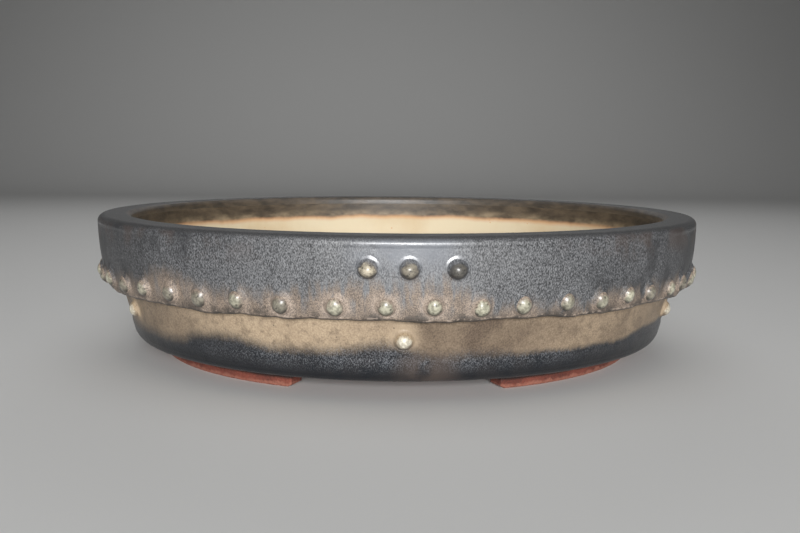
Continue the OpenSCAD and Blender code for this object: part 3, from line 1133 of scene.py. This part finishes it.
def stud_mesh(name: str, studs: list[Stud]) -> bpy.types.Mesh:
    """Makes the points that carry the rivets to the trees.

    Args:
        name: Name of the mesh.
        studs: The rivets.

    Returns:
        A mesh of loose points with the rivets' values.
    """
    mesh = bpy.data.meshes.new(name)
    mesh.from_pydata([s.foot for s in studs], [], [])
    for label, vectors in (("foot", [s.foot for s in studs]), ("out", [s.out for s in studs]),
                           ("girth", [(s.wide, s.wide, s.tall) for s in studs])):
        flat = [c for vector in vectors for c in vector]
        mesh.attributes.new(label, VECTOR, "POINT").data.foreach_set("vector", flat)
    mesh.attributes.new("tone", "FLOAT", "POINT").data.foreach_set("value", [s.tone for s in studs])
    return mesh


def solid_object(name: str, work: bmesh.types.BMesh, finish: bpy.types.Material) -> bpy.types.Object:
    """Turns worked faces into a smooth object of one finish.

    Args:
        name: Name of the object.
        work: The faces, which are used up.
        finish: The finish.

    Returns:
        The object.
    """
    bmesh.ops.recalc_face_normals(work, faces=work.faces)
    mesh = bpy.data.meshes.new(name)
    work.to_mesh(mesh)
    work.free()
    mesh.shade_smooth()
    mesh.materials.append(finish)
    made = bpy.data.objects.new(name, mesh)
    bpy.context.scene.collection.objects.link(made)
    return made


def solids(node: str) -> list[list[Vector]]:
    """Splits a node's mesh into its separate solids.

    Args:
        node: Name of the node.

    Returns:
        The corners of each solid.
    """
    mesh = frame["nodes"][node].data
    keys = [tuple(round(c / WELD) for c in v.co) for v in mesh.vertices]
    leader = {key: key for key in keys}

    def lead(key: tuple) -> tuple:
        """Finds the corner that stands for a whole solid.

        Args:
            key: A corner.

        Returns:
            The leading corner.
        """
        while leader[key] != key:
            leader[key] = leader[leader[key]]
            key = leader[key]
        return key

    for face in mesh.polygons:
        first, *others = (keys[i] for i in face.vertices)
        for other in others:
            leader[lead(other)] = lead(first)
    found: dict[tuple, list[Vector]] = {}
    for key, vertex in zip(keys, mesh.vertices):
        found.setdefault(lead(key), []).append(vertex.co)
    return list(found.values())


@dataclass
class Piece:
    """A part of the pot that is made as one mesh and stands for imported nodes."""

    nodes: tuple[str, ...]
    slot: str

    def dress(self, made: bpy.types.Object) -> bpy.types.Object:
        """Ties the made mesh to the frame.

        Args:
            made: The mesh's object.

        Returns:
            The same object.
        """
        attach(made, ROOT)
        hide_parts(*self.nodes)
        return made


@dataclass
class DrumBand(Piece):
    """The thick glazed band with its lip and hem."""

    nodes: tuple[str, ...] = ("drum_band",)
    slot: str = "band_glaze"
    thickness: float = 6.0 * MM
    lean: float = math.radians(7.0)
    lip_thickness: float = 4.0 * MM
    lip_outer: float = 3.0 * MM
    lip_inner: float = 2.5 * MM
    hem_round: float = 2.0 * MM
    wall_under: float = 8.2 * MM
    segments: int = 960
    face_step: float = 0.8 * MM
    rim_step: float = 4.0 * MM
    back_step: float = 3.0 * MM
    sway: float = 2.2 * MM
    sway_height: float = 7.0 * MM
    wobble: float = 0.35 * MM
    belly: float = 0.8 * MM

    def __post_init__(self) -> None:
        """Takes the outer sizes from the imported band."""
        low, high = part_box("drum_band")
        self.hem_z, self.top_z, self.rim_r = low.z, high.z, high.x
        self.rim_z = self.top_z - self.lip_thickness
        self.lip_r = self.face_r(self.rim_z, self.thickness + self.wall_under)

    def face_r(self, z: float, depth: float = 0.0) -> float:
        """Finds the radius at a height.

        Args:
            z: The height.
            depth: Depth inside the band's outer face.

        Returns:
            The radius.
        """
        top_r = self.rim_r - self.lip_outer + self.lip_outer * math.cos(self.lean)
        top_z = self.top_z - self.lip_outer - self.lip_outer * math.sin(self.lean)
        return top_r - (top_z - z) * math.tan(self.lean) - depth / math.cos(self.lean)

    def bulge(self, z: float) -> float:
        """Returns how far the face's belly stands out at a height."""
        low, high = self.hem_z + self.hem_round, self.top_z - self.lip_outer
        return self.belly * math.sin(math.pi * min(1.0, max(0.0, (z - low) / (high - low))))

    def outline(self) -> list[ProfilePoint]:
        """Lays the band's outline, from the hem up the outside and back down behind.

        Returns:
            The points of the closed outline.
        """
        lean = math.degrees(self.lean)
        hem_mid = (self.face_r(self.hem_z + self.hem_round, self.hem_round), self.hem_z + self.hem_round)
        lip_mid = (self.rim_r - self.lip_outer, self.top_z - self.lip_outer)
        in_mid = (self.lip_r + self.lip_inner, self.top_z - self.lip_inner)
        in_low = (self.lip_r, self.rim_z)
        back_low = (self.face_r(self.hem_z, self.thickness), self.hem_z)
        back_high = (self.face_r(self.rim_z, self.thickness), self.rim_z)
        hem = arc(hem_mid, self.hem_round, -90, -lean, steps=5)
        lip = arc(lip_mid, self.lip_outer, -lean, 90, steps=9)
        inner = arc(in_mid, self.lip_inner, 90, 180, steps=7)
        points = [back_low] + run(back_low, hem[0], self.face_step) + hem
        points += [(r + self.bulge(z), z) for r, z in run(hem[-1], lip[0], self.face_step)] + lip
        points += run(lip[-1], inner[0], self.face_step) + inner + [in_low]
        points += run(in_low, back_high, self.rim_step) + [back_high]
        points += run(back_high, back_low, self.back_step)
        share = [max(0.0, 1.0 - (z - self.hem_z) / self.sway_height) for _, z in points]
        loop = [ProfilePoint(r, z, s * s * (3 - 2 * s)) for (r, z), s in zip(points, share)]
        return loop + loop[:1]

    def build(self, wall: TurnedWall, studs: list[Stud], finish: bpy.types.Material) -> bpy.types.Object:
        """Turns the band and lets its hem sway.

        Args:
            wall: The turning tree.
            studs: The rivets on the band.
            finish: The band's finish.

        Returns:
            The piece.
        """
        return wall.throw("band_glazed", self.outline(), studs, dict.fromkeys(Zone, finish),
                          Segments=self.segments, Sway=self.sway, Wobble=self.wobble)


@dataclass
class Bowl(Piece):
    """The thrown bowl with its drain and tie-wire holes."""

    nodes: tuple[str, ...] = ("bowl",)
    slot: str = "bowl_glaze"
    wall: float = 8.0 * MM
    slip: float = 0.2 * MM
    lean: float = math.radians(15.0)
    heel_round: float = 4.0 * MM
    corner_round: float = 10.0 * MM
    hole_edge: float = 1.2 * MM
    ridge_z: float = 16.6 * MM
    ridge: float = 0.3 * MM
    ridge_width: float = 1.2 * MM
    wobble: float = 0.3 * MM
    segments: int = 480
    base_step: float = 6.0 * MM
    wall_step: float = 0.6 * MM
    hidden_step: float = 5.0 * MM
    rim_step: float = 3.0 * MM
    inner_step: float = 1.6 * MM
    floor_step: float = 4.0 * MM

    def __post_init__(self) -> None:
        """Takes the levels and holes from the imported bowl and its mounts."""
        low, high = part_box("bowl")
        self.base_z, self.rim_z = low.z, high.z
        dims = {mount["name"]: mount["dims"] for mount in frame["record"]["mounts"]}
        self.drain_r = dims["drain_hole"]["r_mm"] * MM
        self.floor_z = self.base_z + dims["drain_hole"]["length_mm"] * MM
        self.wires = dims["wire_holes"]

    def outline(self, band: DrumBand) -> list[ProfilePoint]:
        """Lays the bowl's outline, from the drain under the base, up outside and down inside.

        Args:
            band: The band that the bowl carries.

        Returns:
            The points of the closed outline.
        """
        lean = math.degrees(self.lean)
        depth = band.thickness + self.slip
        waist = (band.face_r(band.hem_z, depth), band.hem_z)

        def lower_r(z: float, inset: float) -> float:
            """Returns the radius of the lower wall at a height, an inset inside it."""
            return waist[0] - (waist[1] - z) * math.tan(self.lean) - inset / math.cos(self.lean)

        heel_mid = (lower_r(self.base_z + self.heel_round, self.heel_round), self.base_z + self.heel_round)
        corner_z = self.floor_z + self.corner_round
        corner_mid = (lower_r(corner_z, self.wall + self.corner_round), corner_z)
        heel = arc(heel_mid, self.heel_round, -90, -lean, steps=9)
        corner = arc(corner_mid, self.corner_round, -lean, -90, steps=10)
        out_rim = (band.face_r(self.rim_z, depth), self.rim_z)
        in_rim = (band.face_r(self.rim_z, depth + self.wall), self.rim_z)
        half = (band.lean + self.lean) / 2
        mitre = self.wall / math.cos((self.lean - band.lean) / 2)
        in_waist = (waist[0] - mitre * math.cos(half), waist[1] + mitre * math.sin(half))
        edge = self.hole_edge
        drain_low = arc((self.drain_r + edge, self.base_z + edge), edge, 180, 270, steps=4)
        drain_high = arc((self.drain_r + edge, self.floor_z - edge), edge, 90, 180, steps=4)

        base = drain_low + run(drain_low[-1], heel[0], self.base_step)
        low_wall = [(r + self._ridge(z), z) for r, z in run(heel[-1], waist, self.wall_step)]
        outside = heel + low_wall + [waist] + run(waist, out_rim, self.hidden_step) + [out_rim]
        inside = run(out_rim, in_rim, self.rim_step) + [in_rim] + run(in_rim, in_waist, self.inner_step)
        inside += [in_waist] + run(in_waist, corner[0], self.inner_step) + corner
        inside += run(corner[-1], drain_high[0], self.floor_step) + drain_high
        loop = [ProfilePoint(r, z, 0.0, zone) for zone, stretch in (
            (Zone.BASE, base), (Zone.OUTSIDE, outside), (Zone.INSIDE, inside)) for r, z in stretch]
        return loop + loop[:1]

    def _ridge(self, z: float) -> float:
        """Returns how far the thrown line stands out or in at a height."""
        along = (z - self.ridge_z) / self.ridge_width
        return self.ridge * (1 / (1 + math.exp(along * 3)) - math.exp(-along * along))

    def build(self, band: DrumBand, wall: TurnedWall, studs: list[Stud],
              finishes: dict[Zone, bpy.types.Material]) -> bpy.types.Object:
        """Turns the bowl and bores its holes.

        Args:
            band: The band that the bowl carries.
            wall: The turning tree.
            studs: The rivets on the lower wall.
            finishes: The finish of each zone.

        Returns:
            The piece.
        """
        return wall.throw("bowl_thrown", self.outline(band), studs, finishes, Segments=self.segments,
                          Wobble=self.wobble, Hole_Radius=self.wires["hole_r_mm"] * MM,
                          Hole_Circle=self.wires["pcd_mm"] * MM / 2, Hole_Count=self.wires["count"],
                          Hole_Height=(self.base_z + self.floor_z) / 2)


@dataclass(frozen=True)
class HeadShape:
    """Outline of a rivet's head, in shares of its half width and height.

    The foot runs out into the wall at the flare, the dome starts at the neck, and the ramp draws the
    upper half up the wall.
    """

    flare: float
    neck: float
    seat: float
    bend: float
    start: float
    flare_down: float
    ramp: float = 1.0
    sunk: float = -0.03
    foot_steps: int = 7
    dome_steps: int = 9
    under: tuple[Pair, ...] = ((0.0, -0.35), (0.7, -0.35), (1.1, -0.25))

    def outline(self) -> list[ProfilePoint]:
        """Lays the outline from the middle of the underside to the crown.

        Returns:
            The points of the outline.
        """
        points = [ProfilePoint(r, z, 0.0, Zone.BASE) for r, z in self.under]
        for t in (i / self.foot_steps for i in range(self.foot_steps)):
            z = self.sunk + (self.seat - self.sunk) * t ** self.bend
            points.append(ProfilePoint(self.flare + (self.neck - self.flare) * t, z, t, Zone.BASE))
        ball = arc((0.0, 0.0), 1.0, self.start, 90, self.dome_steps)
        wide, low = ball[0]
        for r, z in ball:
            rise = self.seat + (1 - self.seat) * (z - low) / (1 - low)
            points.append(ProfilePoint(max(0.0, self.neck * r / wide), rise, 1.0))
        return points


@dataclass
class RivetSet(Piece):
    """All the rivets of one kind, as one piece."""

    kind: StudKind
    lean: float
    tall: float
    shape: HeadShape
    glaze: StudGlaze
    tones: tuple[float, ...] = ()
    uneven: float = 0.05
    studs: list[Stud] = field(default_factory=list)

    def find(self, draw: random.Random) -> None:
        """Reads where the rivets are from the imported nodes.

        Args:
            draw: Draws each rivet's girth, and its tone where the set has no tones.
        """
        flat = math.cos(self.lean)
        for corners in (solid for node in self.nodes for solid in solids(node)):
            low, high = (Vector(pick(c[i] for c in corners) for i in range(3)) for pick in (min, max))
            mid = (low + high) / 2
            turn = math.atan2(mid.x, -mid.y)
            out = Vector((math.sin(turn) * flat, -math.cos(turn) * flat, -math.sin(self.lean)))
            reach = max((c - mid).dot(out) for c in corners)
            wide = max(((c - mid) - out * (c - mid).dot(out)).length for c in corners)
            wide *= draw.uniform(1 - self.uneven, 1 + self.uneven)
            tone = self.tones[len(self.studs) % len(self.tones)] if self.tones else draw.random()
            self.studs.append(Stud(mid + out * (reach - self.tall), out, wide, self.tall, tone))

    def build(self, heads: StudHeads, effects: Effects, wall: bpy.types.Object,
              wall_finish: bpy.types.Material) -> bpy.types.Object:
        """Sets a head on each place.

        Args:
            heads: The tree that makes the heads.
            effects: The shared effects.
            wall: The piece that carries the rivets.
            wall_finish: Finish of the wall, which runs up on the flared foot.

        Returns:
            The piece.
        """
        name = f"{self.kind.name.lower()}_rivets_pressed"
        head = bpy.data.objects.new(name + "_head", outline_mesh(name + "_head", self.shape.outline()))
        piece = grow(name, stud_mesh(name + "_places", self.studs), heads.tree, Head=head, Wall=wall,
                     Flare_Down=self.shape.flare_down, Ramp=self.shape.ramp,
                     Finish=self.glaze.material(effects), Foot_Finish=wall_finish)
        bpy.data.objects.remove(head)
        return piece


@dataclass
class ArcFoot(Piece):
    """One bare foot, with its ground edges and ends worn round."""

    edge: float = 0.8 * MM
    end_wear: float = 2.0 * MM
    end_draw: float = 0.12
    end_lift: float = 0.1
    ripple_mm: float = 0.25
    ripple_size: float = 7.0 * MM
    ground: float = 1.0 * MM
    steps: int = 96
    side_step: float = 2.0 * MM
    top_step: float = 3.0 * MM
    sharp: float = math.radians(50)

    def __post_init__(self) -> None:
        """Takes the foot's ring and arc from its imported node."""
        corners = [vertex.co for vertex in frame["nodes"][self.nodes[0]].data.vertices]
        radii = [math.hypot(c.x, c.y) for c in corners]
        low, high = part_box(self.nodes[0])
        towards = (low + high) / 2
        self.middle = math.atan2(towards.x, -towards.y)
        turns = [math.remainder(math.atan2(c.x, -c.y) - self.middle, math.tau) for c in corners]
        self.middle += (min(turns) + max(turns)) / 2
        self.arc = max(turns) - min(turns)
        self.out_r, self.top = max(radii), high.z
        width = self.out_r - min(radii)
        self.in_r, self.mid_r = self.out_r - width, self.out_r - width / 2

    def section(self) -> list[Pair]:
        """Lays the foot's closed section.

        Returns:
            The points, as radius and height.
        """
        out_top, in_top = (self.out_r, self.top), (self.in_r, self.top)
        points = arc((self.in_r + self.edge, self.edge), self.edge, 180, 270, steps=4)
        points += run(points[-1], (self.out_r - self.edge, 0.0), self.side_step)
        points += arc((self.out_r - self.edge, self.edge), self.edge, 270, 360, steps=4)
        points += run(points[-1], out_top, self.side_step) + [out_top]
        points += run(out_top, in_top, self.top_step) + [in_top]
        return points + run(in_top, points[0], self.side_step)

    def build(self, finish: bpy.types.Material) -> bpy.types.Object:
        """Sweeps the foot's section along its arc and caps the ends.

        Args:
            finish: The foot's finish.

        Returns:
            The piece.
        """
        section = self.section()
        work = bmesh.new()
        rings = []
        for share in (i / self.steps for i in range(self.steps + 1)):
            to_end = min(share, 1 - share) * self.arc * self.mid_r
            wear = max(0.0, 1 - to_end / self.end_wear) ** 2
            turn = self.middle + (share - 0.5) * self.arc
            rings.append([work.verts.new(self._worn(r, z, turn, wear)) for r, z in section])
        for first, second in zip(rings, rings[1:]):
            for i in range(len(section)):
                k = (i + 1) % len(section)
                work.faces.new((first[i], first[k], second[k], second[i]))
        work.faces.new(rings[0])
        work.faces.new(rings[-1])
        piece = solid_object(self.nodes[0] + "_worn", work, finish)
        piece.data.set_sharp_from_angle(angle=self.sharp)
        return piece

    def _worn(self, r: float, z: float, turn: float, wear: float) -> Vector:
        """Places a point of the section, drawn in and up where an end is worn.

        Args:
            r: Radius of the point in the section.
            z: Height of the point in the section.
            turn: Angle from the front.
            wear: Share of the wear, 1 at the very end.

        Returns:
            The point.
        """
        r += (self.mid_r - r) * self.end_draw * wear
        z += (self.top - z) * self.end_lift * wear
        spot = Vector((r * math.sin(turn), -r * math.cos(turn), z))
        if z < self.ground:
            return spot
        return spot + noise.noise_vector(spot / self.ripple_size) * self.ripple_mm * MM


@dataclass(frozen=True)
class Studio:
    """Pale sweep, soft lamps and the camera."""

    camera_range: float = 476.0 * MM
    camera_z: float = 93.7 * MM
    camera_turn: float = math.radians(-1.5)
    pitch: float = 0.122
    yaw: float = 0.003
    roll: float = 0.0085
    focal_px: float = 975.0
    picture_px: float = 800.0
    sensor: float = 36.0
    floor_tone: Colour = (0.7, 0.7, 0.69, 1.0)
    floor_rough: float = 0.9
    floor_half: float = 8.0
    sweep_y: float = 1.4
    sweep_r: float = 0.7
    sweep_top: float = 3.5
    white: Colour = (1.0, 1.0, 1.0, 1.0)
    room_light: float = 0.09
    target: tuple[float, float, float] = (0.0, 0.0, 0.03)
    lamps: tuple[Lamp, ...] = (
        Lamp("front_key", (0.04, -1.5, 0.34), (0.8, 0.35), 2.35, 45.0),
        Lamp("back_fill", (0.0, 1.6, 0.75), (1.4, 0.5), 1.1, 70.0),
        Lamp("top_soft", (0.0, -0.1, 1.5), (1.6, 1.6), 4.2))

    def floor(self) -> None:
        """Lays the floor and curves it up into a backdrop."""
        bend = arc((self.sweep_y, self.sweep_r), self.sweep_r, -90, 0, steps=16)
        profile = [(-self.floor_half, 0.0)] + bend + [(self.sweep_y + self.sweep_r, self.sweep_top)]
        work = bmesh.new()
        rows = [[work.verts.new((x, y, z)) for y, z in profile] for x in (-self.floor_half, self.floor_half)]
        for i in range(len(profile) - 1):
            work.faces.new((rows[0][i], rows[1][i], rows[1][i + 1], rows[0][i + 1]))
        finish = bpy.data.materials.new("pale_sweep")
        finish.use_nodes = True
        shader = finish.node_tree.nodes["Principled BSDF"]
        shader.inputs["Base Color"].default_value = self.floor_tone
        shader.inputs["Roughness"].default_value = self.floor_rough
        solid_object("pale_sweep", work, finish)

    def light(self) -> None:
        """Hangs the soft lamps, aimed at the pot, and lights the room a little."""
        for lamp in self.lamps:
            light = bpy.data.lights.new(lamp.name, "AREA")
            light.shape = "RECTANGLE"
            light.size, light.size_y = lamp.size
            light.energy = lamp.power
            light.spread = math.radians(lamp.spread)
            hung = bpy.data.objects.new(lamp.name, light)
            hung.location = lamp.place
            way = Vector(self.target) - Vector(lamp.place)
            hung.rotation_euler = way.to_track_quat("-Z", "Y").to_euler()
            bpy.context.scene.collection.objects.link(hung)
        world = bpy.data.worlds.new("soft_room")
        world.use_nodes = True
        room = world.node_tree.nodes["Background"].inputs
        room["Color"].default_value = self.white
        room["Strength"].default_value = self.room_light
        bpy.context.scene.world = world

    def camera(self) -> None:
        """Sets the camera where the photograph was taken from."""
        lens = bpy.data.cameras.new("view_camera")
        lens.sensor_width = self.sensor
        lens.lens = self.focal_px * self.sensor / self.picture_px
        camera = bpy.data.objects.new("view_camera", lens)
        right = Vector((math.cos(self.yaw), -math.sin(self.yaw), 0.0))
        ahead = Vector((math.sin(self.yaw) * math.cos(self.pitch), math.cos(self.yaw) * math.cos(self.pitch),
                        -math.sin(self.pitch)))
        up = right.cross(ahead)
        right, up = (right * math.cos(self.roll) + up * math.sin(self.roll),
                     up * math.cos(self.roll) - right * math.sin(self.roll))
        axes = Matrix((right, up, -ahead)).transposed().to_4x4()
        around = Matrix.Rotation(self.camera_turn, 4, "Z")
        spot = Matrix.Translation((0.0, -self.camera_range, self.camera_z))
        camera.matrix_world = around @ spot @ axes
        bpy.context.scene.collection.objects.link(camera)
        bpy.context.scene.camera = camera


def rivet_sets(band: DrumBand, bowl: Bowl) -> tuple[RivetSet, RivetSet, RivetSet]:
    """Describes the three kinds of rivet and finds their places.

    Args:
        band: The band, which carries the row and the trios.
        bowl: The bowl, which carries the single rivets.

    Returns:
        The row, the trios and the single rivets.
    """
    drawn_up = HeadShape(flare=1.5, neck=0.93, seat=0.42, bend=1.6, start=44.0, flare_down=0.45, ramp=1.25)
    ringed = HeadShape(flare=1.36, neck=0.95, seat=0.08, bend=1.0, start=30.0, flare_down=0.5)
    plump = HeadShape(flare=1.35, neck=0.92, seat=0.25, bend=2.3, start=34.0, flare_down=0.55, ramp=1.08)
    row = RivetSet(StudKind.ROW.nodes(), "stud_glaze", StudKind.ROW, band.lean, tall=3.1 * MM,
                   shape=drawn_up, glaze=CREAM_STUD)
    trio = RivetSet(StudKind.TRIO.nodes(), "trio_glaze", StudKind.TRIO, band.lean, tall=3.4 * MM,
                    shape=ringed, glaze=BRONZE_STUD, tones=(0.0, 0.6, 1.0))
    lower = RivetSet(StudKind.LOWER.nodes(), "stud_glaze", StudKind.LOWER, bowl.lean, tall=3.2 * MM,
                     shape=plump, glaze=PALE_STUD, tones=(0.0, 0.2))
    draw = random.Random(SEED)
    for rivets in (row, trio, lower):
        rivets.find(draw)
    return row, trio, lower


def main() -> None:
    """Builds the pot piece by piece and reports each one."""
    logging.basicConfig(level=logging.INFO, format="%(name)s: %(message)s")
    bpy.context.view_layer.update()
    bpy.context.scene.view_settings.view_transform = "Standard"
    noise.seed_set(SEED)
    studio = Studio()
    studio.camera()
    studio.floor()
    studio.light()

    effects = Effects()
    band, bowl = DrumBand(), Bowl()
    row, trio, lower = rivet_sets(band, bowl)
    row_z = sum(stud.foot.z for stud in row.studs) / len(row.studs)
    band_glaze = BandGlaze().material(effects, row_z, band.top_z, band.lip_r)
    finishes = {
        Zone.OUTSIDE: WallGlaze().material(effects, bowl.base_z),
        Zone.INSIDE: CreamInside().material(effects, band.top_z),
        Zone.BASE: BareClay().material(effects, bowl.base_z),
    }

    wall, heads = TurnedWall(), StudHeads()
    band_piece = band.dress(band.build(wall, row.studs + trio.studs, band_glaze))
    bowl_piece = bowl.dress(bowl.build(band, wall, lower.studs, finishes))
    pieces = [band_piece, bowl_piece]
    for rivets in (row, trio):
        pieces.append(rivets.dress(rivets.build(heads, effects, band_piece, band_glaze)))
    pieces.append(lower.dress(lower.build(heads, effects, bowl_piece, finishes[Zone.OUTSIDE])))
    for name in FEET:
        foot = ArcFoot((name,), "bare_clay")
        pieces.append(foot.dress(foot.build(finishes[Zone.BASE])))
    for piece in pieces:
        LOG.info("%s: %d faces", piece.name, len(piece.data.polygons))


if __name__ == "__main__":
    main()
